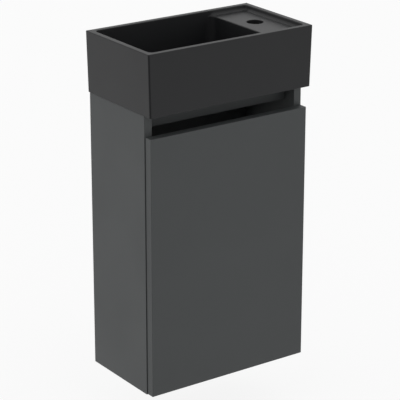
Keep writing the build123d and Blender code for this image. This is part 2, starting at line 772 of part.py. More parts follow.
def wall_plate(side):
    """Steel plate screwed to the wall; its stepped top edge carries the hook."""
    back = 0
    front = -wall_plate_thickness
    step_top = wall_plate_step + wall_plate_step_rise
    with BuildPart() as plate:
        with BuildSketch(Plane.YZ.offset(side * wall_plate_x)):
            with BuildLine():
                Polyline(
                    (back, -wall_plate_foot),
                    (back, wall_plate_step),
                    (back - wall_plate_offset, step_top),
                    (back - wall_plate_offset, wall_plate_top),
                    (front - wall_plate_offset, wall_plate_top),
                    (front - wall_plate_offset, step_top),
                    (front, wall_plate_step),
                    (front, -wall_plate_foot),
                    close=True,
                )
            make_face()
        extrude(amount=wall_plate_width / 2, both=True)
        with BuildSketch(Plane.XZ):
            with Locations((side * wall_plate_x, 0)):
                with GridLocations(0, wall_hole_pitch, 1, 2):
                    Circle(wall_hole_radius)
        extrude(amount=wall_plate_thickness, mode=Mode.SUBTRACT)
    return plate


def hanger_hook(side):
    """Flat steel hook that reaches back over the wall plate's top edge."""
    with BuildPart() as hook:
        with BuildSketch(Plane.YZ.offset(side * hook_x)):
            with BuildLine():
                Polyline(
                    (-hook_end_gap, hook_top),
                    (-hook_end_gap, hook_bottom - hook_lip),
                    (-hook_end_gap - hook_lip_thickness, hook_bottom - hook_lip),
                    (-hook_end_gap - hook_lip_thickness, hook_bottom),
                    (-hook_reach, hook_bottom),
                    (-hook_reach, hook_top),
                    close=True,
                )
            make_face()
        extrude(amount=hook_thickness / 2, both=True)
    return hook


def hanger_body(side):
    """Housing on the side board that holds the hook and its two adjusting screws."""
    with BuildPart() as body:
        with Locations((side * hanger_centre_x, -(hanger_front + hanger_back) / 2,
                        (hanger_top + hanger_bottom) / 2)):
            Box(hanger_thickness, hanger_front - hanger_back, hanger_top - hanger_bottom)
        inner_face = body.faces().sort_by(Axis.X)[0 if side > 0 else -1]
        fillet(inner_face.edges(), hanger_round)
        with Locations((side * hook_x, -(hook_reach + hanger_back) / 2, (hook_bottom + hook_top) / 2)):
            Box(hook_thickness + 2 * hanger_slot_clearance,
                hook_reach - hanger_back + 2 * hanger_slot_clearance,
                hook_bar_height + 2 * hanger_slot_clearance, mode=Mode.SUBTRACT)
        with BuildSketch(Plane.XZ.offset(hanger_front)):
            with Locations(*[(side * hanger_centre_x, height) for height in adjuster_heights]):
                Circle(adjuster_radius + adjuster_clearance)
        extrude(amount=-adjuster_length, mode=Mode.SUBTRACT)
        with BuildSketch(Plane.YZ.offset(side * (side_inner - hanger_thickness))):
            with Locations(*hanger_screw_places):
                Circle(hanger_screw_radius + screw_clearance)
        extrude(amount=side * hanger_thickness, mode=Mode.SUBTRACT)
    return body


side_names = {"left": -1, "right": 1}
wall_plates = {name: wall_plate(side) for name, side in side_names.items()}
hooks = {name: hanger_hook(side) for name, side in side_names.items()}
hangers = {name: hanger_body(side) for name, side in side_names.items()}

with BuildPart() as hanger_adjusters:
    for side in side_names.values():
        for height in adjuster_heights:
            with BuildSketch(Plane.XZ.offset(hanger_front + adjuster_proud)):
                with Locations((side * hanger_centre_x, height)):
                    Circle(adjuster_radius)
            extrude(amount=-adjuster_length)
            with BuildSketch(Plane.XZ.offset(hanger_front + adjuster_proud)):
                with Locations((side * hanger_centre_x, height)):
                    Rectangle(recess_length, recess_width)
                    Rectangle(recess_width, recess_length)
            extrude(amount=-recess_in_head, mode=Mode.SUBTRACT)

with BuildPart() as hanger_screws:
    for side in side_names.values():
        for y, z in hanger_screw_places:
            screw(Plane(origin=(side * (side_inner - hanger_thickness), y, z), x_dir=(0, 1, 0),
                        z_dir=(-side, 0, 0)),
                  hanger_screw_radius, hanger_thickness + hanger_screw_in_panel,
                  hanger_screw_head_radius, hanger_screw_head)

# Every piece under its own name
pieces = {
    "basin": basin,
    "silicone_bead": silicone_bead,
    "left_side_panel": left_side_panel,
    "right_side_panel": right_side_panel,
    "bottom_panel": bottom_panel,
    "upper_back_rail": upper_back_rail,
    "lower_back_rail": lower_back_rail,
    "front_rail": front_rail,
    "shelf": shelf,
    "shelf_pins": shelf_pins,
    "dowels": dowels,
    "cam_bolts": cam_bolts,
    "cam_locks": cam_locks,
    "door": door,
    "door_bumpers": door_bumpers,
    "hinge_cup_screws": hinge_cup_screws,
    "hinge_cup_pins": hinge_cup_pins,
    "hinge_arm_pins": hinge_arm_pins,
    "hinge_arm_screws": hinge_arm_screws,
    "hinge_plate_screws": hinge_plate_screws,
    "hanger_adjusters": hanger_adjusters,
    "hanger_screws": hanger_screws,
}
for name in hinge_heights:
    pieces[f"{name}_hinge_cup"] = cups[name]
    pieces[f"{name}_outer_link"] = outer_links[name]
    pieces[f"{name}_inner_link"] = inner_links[name]
    pieces[f"{name}_hinge_arm"] = arms[name]
    pieces[f"{name}_hinge_plate"] = plates[name]
for name in side_names:
    pieces[f"{name}_wall_plate"] = wall_plates[name]
    pieces[f"{name}_hanger_hook"] = hooks[name]
    pieces[f"{name}_hanger_body"] = hangers[name]

os.makedirs("parts", exist_ok=True)
for name, piece in pieces.items():
    piece.part.label = name
    export_step(piece.part, f"parts/{name}.step")
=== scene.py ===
"""Dressed scene of a slim wall-hung vanity unit: basin, cabinet, hinged door and hangers.

Lengths are in millimetres and become metres where a mesh is written. The camera and the studio
are placed in metres.
"""
import json
import logging
import math
from dataclasses import dataclass, field
from enum import Enum
from typing import Iterable, Sequence

import bmesh
import bpy
from mathutils import Matrix, Vector


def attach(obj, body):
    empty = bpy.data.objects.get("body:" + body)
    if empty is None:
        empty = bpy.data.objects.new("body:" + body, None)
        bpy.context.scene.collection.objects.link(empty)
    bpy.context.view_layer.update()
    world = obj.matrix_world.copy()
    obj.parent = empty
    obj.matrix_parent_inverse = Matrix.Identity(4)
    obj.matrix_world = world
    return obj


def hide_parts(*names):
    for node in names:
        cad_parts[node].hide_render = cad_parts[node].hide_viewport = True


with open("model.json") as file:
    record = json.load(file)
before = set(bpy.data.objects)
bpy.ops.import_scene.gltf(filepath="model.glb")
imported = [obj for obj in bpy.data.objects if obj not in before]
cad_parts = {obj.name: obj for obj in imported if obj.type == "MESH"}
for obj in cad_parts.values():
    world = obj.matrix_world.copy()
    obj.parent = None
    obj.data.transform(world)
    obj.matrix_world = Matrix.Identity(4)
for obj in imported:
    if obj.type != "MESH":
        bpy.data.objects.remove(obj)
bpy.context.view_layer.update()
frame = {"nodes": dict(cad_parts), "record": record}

MM = 0.001
Point = tuple[float, float]
Colour = tuple[float, float, float]
Triple = tuple[float, float, float]

# Points closer than the first merge, and edges within the second lie at one level, in metres.
MERGE_DISTANCE = 2e-6
LEVEL_TOLERANCE = 1e-6

# Octaves of the fine and the broad noise, and the span that holds most of a noise's values.
FINE_DETAIL = 2.0
BROAD_DETAIL = 4.0
NOISE_SPAN = (0.3, 0.7)

logging.basicConfig(level=logging.INFO, format="%(message)s")
log = logging.getLogger("vanity")


class NodeCanvas:
    """Adds nodes to one tree and joins their sockets."""

    def __init__(self, tree: bpy.types.NodeTree) -> None:
        """Keep the tree that the nodes go into.

        Args:
            tree: Shader or geometry node tree.
        """
        self.tree = tree

    def add(self, kind: str, **settings: object) -> bpy.types.Node:
        """Add one node.

        Args:
            kind: Blender's identifier of the node type.
            **settings: Attributes set on the node.

        Returns:
            The new node.
        """
        node = self.tree.nodes.new(kind)
        for name, value in settings.items():
            setattr(node, name, value)
        return node

    def join(self, source: bpy.types.NodeSocket, target: bpy.types.NodeSocket) -> None:
        """Join an output to an input."""
        self.tree.links.new(source, target)

    def feed(self, target: bpy.types.NodeSocket, value: object) -> None:
        """Give an input its value: a join for a socket, otherwise the plain value.

        Args:
            target: The input.
            value: A socket, a number or a vector.
        """
        if isinstance(value, bpy.types.NodeSocket):
            self.join(value, target)
        else:
            target.default_value = value

    def maths(self, operation: str, first: object, second: object) -> bpy.types.NodeSocket:
        """Add a Math node.

        Args:
            operation: Name of the operation, such as MULTIPLY.
            first: A socket or a number.
            second: A socket or a number.

        Returns:
            The node's output.
        """
        node = self.add("ShaderNodeMath", operation=operation)
        for socket, value in zip(node.inputs, (first, second)):
            self.feed(socket, value)
        return node.outputs[0]

    def mix(self, share: bpy.types.NodeSocket, first: bpy.types.Node,
            second: bpy.types.Node) -> bpy.types.Node:
        """Mix two shaders.

        Args:
            share: How much of the second shader there is.
            first: The node seen where the share is nought.
            second: The node seen where the share is one.

        Returns:
            The mixing node.
        """
        node = self.add("ShaderNodeMixShader")
        self.join(share, node.inputs[0])
        self.join(first.outputs[0], node.inputs[1])
        self.join(second.outputs[0], node.inputs[2])
        return node

    def noise(self, place: bpy.types.NodeSocket, scale: object,
              detail: float) -> bpy.types.NodeSocket:
        """Add a Noise Texture.

        Args:
            place: The coordinates it reads.
            scale: A socket or a number.
            detail: Octaves of the noise.

        Returns:
            Its factor, around one half.
        """
        node = self.add("ShaderNodeTexNoise")
        node.inputs["Detail"].default_value = detail
        self.join(place, node.inputs["Vector"])
        self.feed(node.inputs["Scale"], scale)
        return node.outputs["Fac"]


class GroupKind(Enum):
    """The shader effects that more than one finish uses."""

    SKIN = "Fine skin"
    CLOUD = "Soft cloud"
    STREAK = "Drawn streaks"


@dataclass
class ShaderGroups:
    """Shader node groups, each built once and shared."""

    made: dict[GroupKind, bpy.types.NodeTree] = field(default_factory=dict)

    def get(self, kind: GroupKind) -> bpy.types.NodeTree:
        """Return a group, building it at its first use.

        Args:
            kind: Which effect.

        Returns:
            The node group.
        """
        if kind not in self.made:
            builders = {GroupKind.SKIN: self._skin, GroupKind.CLOUD: self._cloud,
                        GroupKind.STREAK: self._streak}
            self.made[kind] = builders[kind]()
        return self.made[kind]

    @staticmethod
    def _start(kind: GroupKind, inputs: dict[str, float], outputs: Sequence[str]) -> tuple[
            NodeCanvas, bpy.types.Node, bpy.types.Node]:
        """Open a group with a vector input, named number inputs and number outputs."""
        tree = bpy.data.node_groups.new(kind.value, "ShaderNodeTree")
        tree.interface.new_socket("Place", in_out="INPUT", socket_type="NodeSocketVector")
        for name, value in inputs.items():
            socket = tree.interface.new_socket(name, in_out="INPUT", socket_type="NodeSocketFloat")
            socket.default_value = value
        for name in outputs:
            tree.interface.new_socket(name, in_out="OUTPUT", socket_type="NodeSocketFloat")
        canvas = NodeCanvas(tree)
        return canvas, canvas.add("NodeGroupInput"), canvas.add("NodeGroupOutput")

    def _skin(self) -> bpy.types.NodeTree:
        """Fine bumpy skin of a sprayed, glazed or moulded surface."""
        canvas, given, result = self._start(
            GroupKind.SKIN, {"Grain per metre": 1500.0, "Orange peel per metre": 260.0, "Grain share": 0.5},
            ("Height", "Speckle"))
        grain = canvas.noise(given.outputs["Place"], given.outputs["Grain per metre"], FINE_DETAIL)
        peel = canvas.noise(given.outputs["Place"], given.outputs["Orange peel per metre"], FINE_DETAIL)
        share = canvas.maths("MULTIPLY", grain, given.outputs["Grain share"])
        canvas.join(canvas.maths("ADD", share, peel), result.inputs["Height"])
        canvas.join(grain, result.inputs["Speckle"])
        return canvas.tree

    def _cloud(self) -> bpy.types.NodeTree:
        """Broad, faint unevenness of colour and gloss."""
        canvas, given, result = self._start(
            GroupKind.CLOUD, {"Clouds per metre": 6.0, "Lowest": 0.95, "Highest": 1.05}, ("Factor",))
        cloud = canvas.noise(given.outputs["Place"], given.outputs["Clouds per metre"], BROAD_DETAIL)
        spread = canvas.add("ShaderNodeMapRange")
        spread.inputs["From Min"].default_value = NOISE_SPAN[0]
        spread.inputs["From Max"].default_value = NOISE_SPAN[1]
        canvas.join(cloud, spread.inputs["Value"])
        canvas.join(given.outputs["Lowest"], spread.inputs["To Min"])
        canvas.join(given.outputs["Highest"], spread.inputs["To Max"])
        canvas.join(spread.outputs["Result"], result.inputs["Factor"])
        return canvas.tree

    def _streak(self) -> bpy.types.NodeTree:
        """Long fine streaks that drawing or sawing leaves along Z."""
        canvas, given, result = self._start(
            GroupKind.STREAK, {"Streaks per metre": 900.0, "Stretch": 0.04}, ("Height", "Tone"))
        stretch = canvas.add("ShaderNodeCombineXYZ")
        stretch.inputs[0].default_value = 1.0
        stretch.inputs[1].default_value = 1.0
        canvas.join(given.outputs["Stretch"], stretch.inputs[2])
        scaled = canvas.add("ShaderNodeVectorMath", operation="MULTIPLY")
        canvas.join(given.outputs["Place"], scaled.inputs[0])
        canvas.join(stretch.outputs[0], scaled.inputs[1])
        lines = canvas.noise(scaled.outputs[0], given.outputs["Streaks per metre"], BROAD_DETAIL)
        canvas.join(lines, result.inputs["Height"])
        canvas.join(lines, result.inputs["Tone"])
        return canvas.tree


GROUPS = ShaderGroups()


@dataclass(frozen=True)
class Finish:
    """A procedural finish: a base colour under a fine skin, with soft clouds and optional streaks."""

    name: str
    colour: Colour
    roughness: float
    metallic: float = 0.0
    specular: float = 0.5
    grain: float = 1500.0
    peel: float = 260.0
    bump: float = 0.05
    bump_depth: float = 0.0002
    speckle: float = 0.06
    cloud: float = 0.03
    gloss_cloud: float = 0.05
    streak: float = 0.0
    colour_clouds: float = 5.0
    gloss_clouds: float = 9.0

    def material(self) -> bpy.types.Material:
        """Build the material, or return the one already built.

        Returns:
            The Blender material of this finish.
        """
        if self.name in bpy.data.materials:
            return bpy.data.materials[self.name]
        material = bpy.data.materials.new(self.name)
        material.use_nodes = True
        canvas = NodeCanvas(material.node_tree)
        canvas.tree.nodes.clear()
        output = canvas.add("ShaderNodeOutputMaterial")
        surface = canvas.add("ShaderNodeBsdfPrincipled")
        canvas.join(surface.outputs[0], output.inputs["Surface"])
        surface.inputs["Metallic"].default_value = self.metallic
        surface.inputs["Specular IOR Level"].default_value = self.specular
        place = canvas.add("ShaderNodeTexCoord").outputs["Object"]
        skin = self._group(canvas, GroupKind.SKIN, place)
        skin.inputs["Grain per metre"].default_value = self.grain
        skin.inputs["Orange peel per metre"].default_value = self.peel
        tone = self._cloud(canvas, place, self.colour_clouds, self.cloud)
        tone = canvas.maths("MULTIPLY", tone, self._speckle(canvas, skin))
        height = skin.outputs["Height"]
        if self.streak:
            drawn = self._group(canvas, GroupKind.STREAK, place)
            shade = canvas.maths("MULTIPLY_ADD", drawn.outputs["Tone"], self.streak)
            shade.node.inputs[2].default_value = 1.0 - self.streak / 2
            tone = canvas.maths("MULTIPLY", tone, shade)
            height = canvas.maths("ADD", height, drawn.outputs["Height"])
        colour = canvas.add("ShaderNodeMix", data_type="RGBA", blend_type="MULTIPLY")
        colour.inputs["Factor"].default_value = 1.0
        colour.inputs["A"].default_value = (*self.colour, 1.0)
        canvas.join(tone, colour.inputs["B"])
        canvas.join(colour.outputs["Result"], surface.inputs["Base Color"])
        gloss = self._cloud(canvas, place, self.gloss_clouds, self.gloss_cloud)
        canvas.join(canvas.maths("MULTIPLY", gloss, self.roughness), surface.inputs["Roughness"])
        bump = canvas.add("ShaderNodeBump")
        bump.inputs["Strength"].default_value = self.bump
        bump.inputs["Distance"].default_value = self.bump_depth
        canvas.join(height, bump.inputs["Height"])
        canvas.join(bump.outputs[0], surface.inputs["Normal"])
        return material

    @staticmethod
    def _group(canvas: NodeCanvas, kind: GroupKind, place: bpy.types.NodeSocket) -> bpy.types.Node:
        """Place a shared group in the material and give it its coordinates."""
        node = canvas.add("ShaderNodeGroup", node_tree=GROUPS.get(kind))
        canvas.join(place, node.inputs["Place"])
        return node

    def _cloud(self, canvas: NodeCanvas, place: bpy.types.NodeSocket, scale: float,
               amount: float) -> bpy.types.NodeSocket:
        """Add the cloud group, spread evenly about one by the amount."""
        node = self._group(canvas, GroupKind.CLOUD, place)
        node.inputs["Clouds per metre"].default_value = scale
        node.inputs["Lowest"].default_value = 1.0 - amount
        node.inputs["Highest"].default_value = 1.0 + amount
        return node.outputs["Factor"]

    def _speckle(self, canvas: NodeCanvas, skin: bpy.types.Node) -> bpy.types.NodeSocket:
        """Turn the skin's grain into a small factor on the colour."""
        factor = canvas.maths("MULTIPLY_ADD", skin.outputs["Speckle"], self.speckle)
        factor.node.inputs[2].default_value = 1.0 - self.speckle / 2
        return factor


GLAZE = Finish("matte_black_glaze", (0.012, 0.0125, 0.0135), 0.42, specular=0.3, grain=2600.0, peel=340.0,
               bump=0.06, speckle=0.25, cloud=0.05)
LACQUER = Finish("anthracite_lacquer", (0.048, 0.052, 0.053), 0.5, specular=0.4, grain=2200.0, peel=300.0,
                 bump=0.05, speckle=0.08, cloud=0.02)
NICKEL = Finish("nickel_plate", (0.62, 0.6, 0.57), 0.3, metallic=1.0, bump=0.03, speckle=0.04, streak=0.06)
ZINC = Finish("bright_zinc", (0.58, 0.6, 0.62), 0.36, metallic=1.0, bump=0.05, speckle=0.1, cloud=0.08)
CASTING = Finish("plain_casting", (0.4, 0.4, 0.41), 0.5, metallic=1.0, bump=0.2, speckle=0.15, cloud=0.1)
MOULDING = Finish("dark_moulding", (0.035, 0.036, 0.038), 0.55, grain=3000.0, bump=0.1, speckle=0.1)
BEECH = Finish("plain_beech", (0.55, 0.38, 0.22), 0.6, bump=0.1, streak=0.3)
SEALANT = Finish("black_sealant", (0.012, 0.012, 0.012), 0.35, bump=0.04, speckle=0.02)

SLOT_FINISH = {
    "basin_glaze": GLAZE,
    "carcass_board": LACQUER,
    "door_board": LACQUER,
    "plated_steel": NICKEL,
    "zinc_steel": ZINC,
    "cast_zinc": CASTING,
    "plastic": MOULDING,
    "beech": BEECH,
    "silicone": SEALANT,
}


@dataclass(frozen=True)
class Outline:
    """Closed rounded rectangle with a fixed count of points, walked anticlockwise seen from above.

    The long sides are divided at a split, so that outlines with equal counts match point by point.
    The points on the right of the split crowd toward it by a power.
    """

    left: float
    right: float
    front: float
    back: float
    left_radius: float
    right_radius: float
    split: float
    back_radius: float | None = None
    side_count: int = 14
    corner_count: int = 12
    crowding: float = 1.8

    def _corner(self, centre: Point, radius: float, start: float) -> list[tuple[Point, Point]]:
        """Points of a quarter arc and their outward normals, without its last point."""
        made = []
        for step in range(self.corner_count):
            angle = math.radians(start + 90.0 * step / self.corner_count)
            normal = (math.cos(angle), math.sin(angle))
            made.append(((centre[0] + radius * normal[0], centre[1] + radius * normal[1]), normal))
        return made

    def _side(self, start: Point, end: Point, normal: Point,
              power: float = 1.0) -> list[tuple[Point, Point]]:
        """Points of a straight side, without its last point.

        A power over 1 crowds them at the side's start, and one under 1 at its end.
        """
        made = []
        for step in range(self.side_count):
            share = (step / self.side_count) ** power if power >= 1.0 else 1.0 - (
                1.0 - step / self.side_count) ** (1.0 / power)
            place = (start[0] + (end[0] - start[0]) * share, start[1] + (end[1] - start[1]) * share)
            made.append((place, normal))
        return made

    def walk(self) -> list[tuple[Point, Point]]:
        """Walk round the outline from the split on the front side.

        Returns:
            Place and outward normal of each point.
        """
        rr, lr = self.right_radius, self.left_radius
        rb = rr if self.back_radius is None else self.back_radius
        lb = lr if self.back_radius is None else self.back_radius
        made = self._side((self.split, self.front), (self.right - rr, self.front), (0, -1),
                          self.crowding)
        made += self._corner((self.right - rr, self.front + rr), rr, -90)
        made += self._side((self.right, self.front + rr), (self.right, self.back - rb), (1, 0))
        made += self._corner((self.right - rb, self.back - rb), rb, 0)
        made += self._side((self.right - rb, self.back), (self.split, self.back), (0, 1),
                           1 / self.crowding)
        made += self._side((self.split, self.back), (self.left + lb, self.back), (0, 1))
        made += self._corner((self.left + lb, self.back - lb), lb, 90)
        made += self._side((self.left, self.back - lb), (self.left, self.front + lr), (-1, 0))
        made += self._corner((self.left + lr, self.front + lr), lr, 180)
        made += self._side((self.left + lr, self.front), (self.split, self.front), (0, -1))
        return made

    @property
    def right_count(self) -> int:
        """Count of points on the right of the split."""
        return 3 * self.side_count + 2 * self.corner_count


def smooth(mesh: bpy.types.Mesh, sharp: float) -> None:
    """Shade a mesh smooth, with its sharp turns kept.

    Args:
        mesh: The mesh to shade.
        sharp: Edges that turn more than this many degrees stay sharp.
    """
    for polygon in mesh.polygons:
        polygon.use_smooth = True
    mesh.set_sharp_from_angle(angle=math.radians(sharp))


def bake(source: bpy.types.Object, name: str) -> bpy.types.Object:
    """Turn an object with modifiers into one plain object, and remove the first.

    Args:
        source: The object with its modifiers.
        name: Name of the piece.

    Returns:
        The plain object, linked to the scene.
    """
    graph = bpy.context.evaluated_depsgraph_get()
    mesh = bpy.data.meshes.new_from_object(source.evaluated_get(graph))
    bpy.data.objects.remove(source)
    mesh.name = name
    piece = bpy.data.objects.new(name, mesh)
    bpy.context.scene.collection.objects.link(piece)
    return piece


class MeshSheet:
    """A mesh under construction in millimetres, made of rings, bands and flat faces with holes."""

    def __init__(self) -> None:
        """Open an empty mesh."""
        self.mesh = bmesh.new()

    def ring(self, places: Iterable[Triple]) -> list[bmesh.types.BMVert]:
        """Add a ring of points, given in millimetres."""
        return [self.mesh.verts.new((x * MM, y * MM, z * MM)) for x, y, z in places]

    def band(self, first: Sequence[bmesh.types.BMVert], second: Sequence[bmesh.types.BMVert]) -> None:
        """Join two closed rings of equal count by quads."""
        for index in range(len(first)):
            after = (index + 1) % len(first)
            self.mesh.faces.new((first[index], first[after], second[after], second[index]))

    def circle(self, centre: Point, radius: float, height: float,
               count: int = 64) -> list[bmesh.types.BMVert]:
        """Add a circle of points, anticlockwise seen from above."""
        x, y = centre
        turn = [2 * math.pi * step / count for step in range(count)]
        return self.ring((x + radius * math.cos(a), y + radius * math.sin(a), height) for a in turn)

    def bands(self, rings: Sequence[Sequence[bmesh.types.BMVert]]) -> None:
        """Join each ring to the next."""
        for first, second in zip(rings[:-1], rings[1:]):
            self.band(first, second)

    def merge(self) -> None:
        """Merge points that coincide, which also drops the collapsed quads."""
        bmesh.ops.remove_doubles(self.mesh, verts=self.mesh.verts, dist=MERGE_DISTANCE)

    def fill(self, height: float, normal: float) -> None:
        """Fill the open edges at one height with flat faces, holes left open.

        Args:
            height: The level of the edges.
            normal: 1 for a face that looks up, -1 for one that looks down.
        """
        level = height * MM
        edges = [edge for edge in self.mesh.edges
                 if len(edge.link_faces) == 1
                 and all(abs(v.co.z - level) < LEVEL_TOLERANCE for v in edge.verts)]
        bmesh.ops.triangle_fill(self.mesh, use_beauty=True, use_dissolve=False, edges=edges,
                                normal=(0, 0, normal))

    def finish(self, name: str, finish: Finish, sharp: float = 35.0) -> bpy.types.Object:
        """Close the mesh into an object with smooth faces, true flats and its finish.

        Args:
            name: Name of the piece.
            finish: What it is made of.
            sharp: Edges that turn more than this many degrees stay sharp.

        Returns:
            The new object, linked to the scene.
        """
        bmesh.ops.recalc_face_normals(self.mesh, faces=self.mesh.faces)
        data = bpy.data.meshes.new(name)
        self.mesh.to_mesh(data)
        self.mesh.free()
        smooth(data, sharp)
        data.materials.append(finish.material())
        rough = bpy.data.objects.new(name + "_rough", data)
        bpy.context.scene.collection.objects.link(rough)
        weighting = rough.modifiers.new("flats", "WEIGHTED_NORMAL")
        weighting.mode = "FACE_AREA"
        weighting.keep_sharp = True
        return bake(rough, name)


@dataclass
class Basin:
    """Moulded basin with a deep bowl on the left and a tap ledge on the right."""

    WALL_RINGS = (40.0, 80.0)
    TOP_RING_DROP = 12.0
    RIM_STEPS = 6
    FOOT_STEPS = 7
    LEDGE_STEPS = 6
    WALL_STEPS = 5
    COVE_STEPS = 9
    HOLE_STEPS = 4
    FOOT_SHARE = 0.6
    LEDGE_SHARE = 0.35
    WALL_NORMAL = 0.999
    AMPLE_ROOM = 60.0
    DISH_LIP = ((1.0, 0.0), (-0.6, 0.25), (-2.5, 0.75))
    WASTE_LIP = ((1.0, -0.1), (0.0, 0.6))

    width: float = 401.2
    depth: float = 227.0
    bottom: float = 61.7
    top: float = 191.0
    side_draft: float = 3.4
    front_draft: float = 1.1
    corner: float = 3.5
    back_corner: float = 0.6
    rim: float = 12.5
    rim_round: float = 1.8
    foot_edge: float = 0.6
    ledge_top: float = 180.0
    ledge_edge: float = 101.5
    foot_round: float = 7.5
    ledge_round: float = 2.2
    well_corner: float = 9.0
    well_draft: float = 0.052
    bowl_floor: float = 82.0
    bowl_corner: float = 14.0
    floor_corner: float = 26.0
    floor_round: float = 12.0
    under_bowl: float = 71.0
    under_ledge: float = 168.0
    skirt: float = 13.0
    pocket_left: float = 111.5
    tap_hole: Triple = (144.0, -106.0, 17.5)
    tap_round: float = 1.5
    waste: Triple = (-43.0, -112.0, 23.0)
    dish_radius: float = 34.0
    dish_depth: float = 3.0

    @property
    def split(self) -> float:
        """Where the bowl's right corners leave the long walls."""
        return self.ledge_edge - self.bowl_corner

    def _outer(self, height: float) -> Outline:
        """Outer outline at a height."""
        share = (self.top - height) / (self.top - self.bottom)
        half = self.width / 2 - self.side_draft * share
        return Outline(-half, half, -self.depth + self.front_draft * share, 0.0, self.corner, self.corner,
                       self.split, back_radius=self.back_corner)

    def _inset(self, height: float) -> float:
        """How far the inner walls have drawn in at a height."""
        return self.rim + (self.top - height) * self.well_draft

    def _well(self, height: float) -> Outline:
        """Inner outline above the ledge."""
        inset = self._inset(height)
        return Outline(-self.width / 2 + inset, self.width / 2 - inset, -self.depth + inset, -inset,
                       self.well_corner, self.well_corner, self.split)

    def _bowl(self, height: float) -> Outline:
        """Inner outline of the bowl, below the ledge's level."""
        inset = self._inset(height)
        share = (self.ledge_top - height) / (self.ledge_top - self.bowl_floor)
        right = self.ledge_edge - (self.ledge_top - height) * self.well_draft
        right_radius = self.bowl_corner + (self.floor_corner - self.bowl_corner) * share
        left_radius = self.well_corner + (self.floor_corner - self.well_corner) * share
        return Outline(-self.width / 2 + inset, right, -self.depth + inset, -inset, left_radius, right_radius,
                       right - right_radius)

    def _offset(self, sheet: MeshSheet, outline: Outline, inward: Sequence[float] | float,
                heights: Sequence[float] | float) -> list[bmesh.types.BMVert]:
        """Add an outline as a ring, moved inward along its normals and set at its heights."""
        places = []
        for index, ((x, y), (nx, ny)) in enumerate(outline.walk()):
            move = inward if isinstance(inward, (int, float)) else inward[index]
            height = heights if isinstance(heights, (int, float)) else heights[index]
            places.append((x - nx * move, y - ny * move, height))
        return sheet.ring(places)

    def _ledge_room(self, outline: Outline, on_bowl: bool) -> list[float]:
        """Room for a rounding at each point, which fades out where the bowl's corner meets the wall."""
        room = []
        for index, ((x, y), (nx, ny)) in enumerate(outline.walk()):
            if index >= outline.right_count:
                room.append(0.0)
            elif on_bowl:
                room.append(self.bowl_corner * (1.0 - abs(ny)) if nx < self.WALL_NORMAL else self.AMPLE_ROOM)
            else:
                run = max(0.0, x - self.split)
                inside = self.bowl_corner ** 2 - run ** 2
                room.append(self.bowl_corner - math.sqrt(inside) if inside > 0 else self.AMPLE_ROOM)
        return room

    def _outer_skin(self, sheet: MeshSheet) -> list[bmesh.types.BMVert]:
        """Outer walls and the rim, up to the inner side of the rim.

        Returns:
            The ring where the rim's inner rounding ends.
        """
        rings = [self._offset(sheet, self._outer(self.bottom), self.foot_edge, self.bottom)]
        for height in (self.bottom + self.foot_edge, *(self.bottom + rise for rise in self.WALL_RINGS),
                       self.top - self.TOP_RING_DROP, self.top - self.rim_round):
            rings.append(self._offset(sheet, self._outer(height), 0.0, height))
        turn = 90 / self.RIM_STEPS
        for step in range(1, self.RIM_STEPS + 1):
            angle = math.radians(turn * step)
            height = self.top - self.rim_round * (1 - math.sin(angle))
            move = self.rim_round * (1 - math.cos(angle))
            rings.append(self._offset(sheet, self._outer(height), move, height))
        for step in range(self.RIM_STEPS + 1):
            angle = math.radians(90 - turn * step)
            height = self.top - self.rim_round * (1 - math.sin(angle))
            move = -self.rim_round * (1 - math.cos(angle))
            rings.append(self._offset(sheet, self._well(height), move, height))
        sheet.bands(rings)
        return rings[-1]

    def _well_skin(self, sheet: MeshSheet, start: list[bmesh.types.BMVert]) -> None:
        """Wall of the shallow part and the soft foot where it meets the ledge."""
        outline = self._well(self.ledge_top)
        radii = [min(self.foot_round, self.FOOT_SHARE * room) for room in self._ledge_room(outline, False)]
        rings = [start]
        for step in range(self.FOOT_STEPS + 1):
            angle = math.radians(90 * step / self.FOOT_STEPS)
            rings.append(self._offset(sheet, outline, [r * (1 - math.cos(angle)) for r in radii],
                                      [self.ledge_top + r * (1 - math.sin(angle)) for r in radii]))
        sheet.bands(rings)

    def _bowl_skin(self, sheet: MeshSheet) -> None:
        """Rounded edge of the ledge, the bowl's walls and the cove round its floor."""
        outline = self._bowl(self.ledge_top)
        radii = [min(self.ledge_round, self.LEDGE_SHARE * room) for room in self._ledge_room(outline, True)]
        rings = []
        for step in range(self.LEDGE_STEPS + 1):
            angle = math.radians(90 * step / self.LEDGE_STEPS)
            rings.append(self._offset(sheet, outline, [-r * (1 - math.sin(angle)) for r in radii],
                                      [self.ledge_top - r * (1 - math.cos(angle)) for r in radii]))
        wall_top = self.ledge_top - self.ledge_round
        wall_foot = self.bowl_floor + self.floor_round
        for step in range(1, self.WALL_STEPS + 1):
            height = wall_top - (wall_top - wall_foot) * step / self.WALL_STEPS
            rings.append(self._offset(sheet, self._bowl(height), 0.0, height))
        for step in range(1, self.COVE_STEPS + 1):
            angle = math.radians(90 / self.COVE_STEPS * step)
            height = self.bowl_floor + self.floor_round * (1 - math.sin(angle))
            move = self.floor_round * (1 - math.cos(angle))
            rings.append(self._offset(sheet, self._bowl(height), move, height))
        sheet.bands(rings)

    def _hole(self, sheet: MeshSheet, place: Triple, top: float, bottom: float, rounding: float) -> None:
        """A round hole with a rounded upper edge."""
        x, y, radius = place
        rings = []
        for step in range(self.HOLE_STEPS + 1):
            angle = math.radians(90 * step / self.HOLE_STEPS)
            rings.append(sheet.circle((x, y), radius + rounding * (1 - math.sin(angle)),
                                      top - rounding * (1 - math.cos(angle))))
        rings.append(sheet.circle((x, y), radius, bottom))
        sheet.bands(rings)

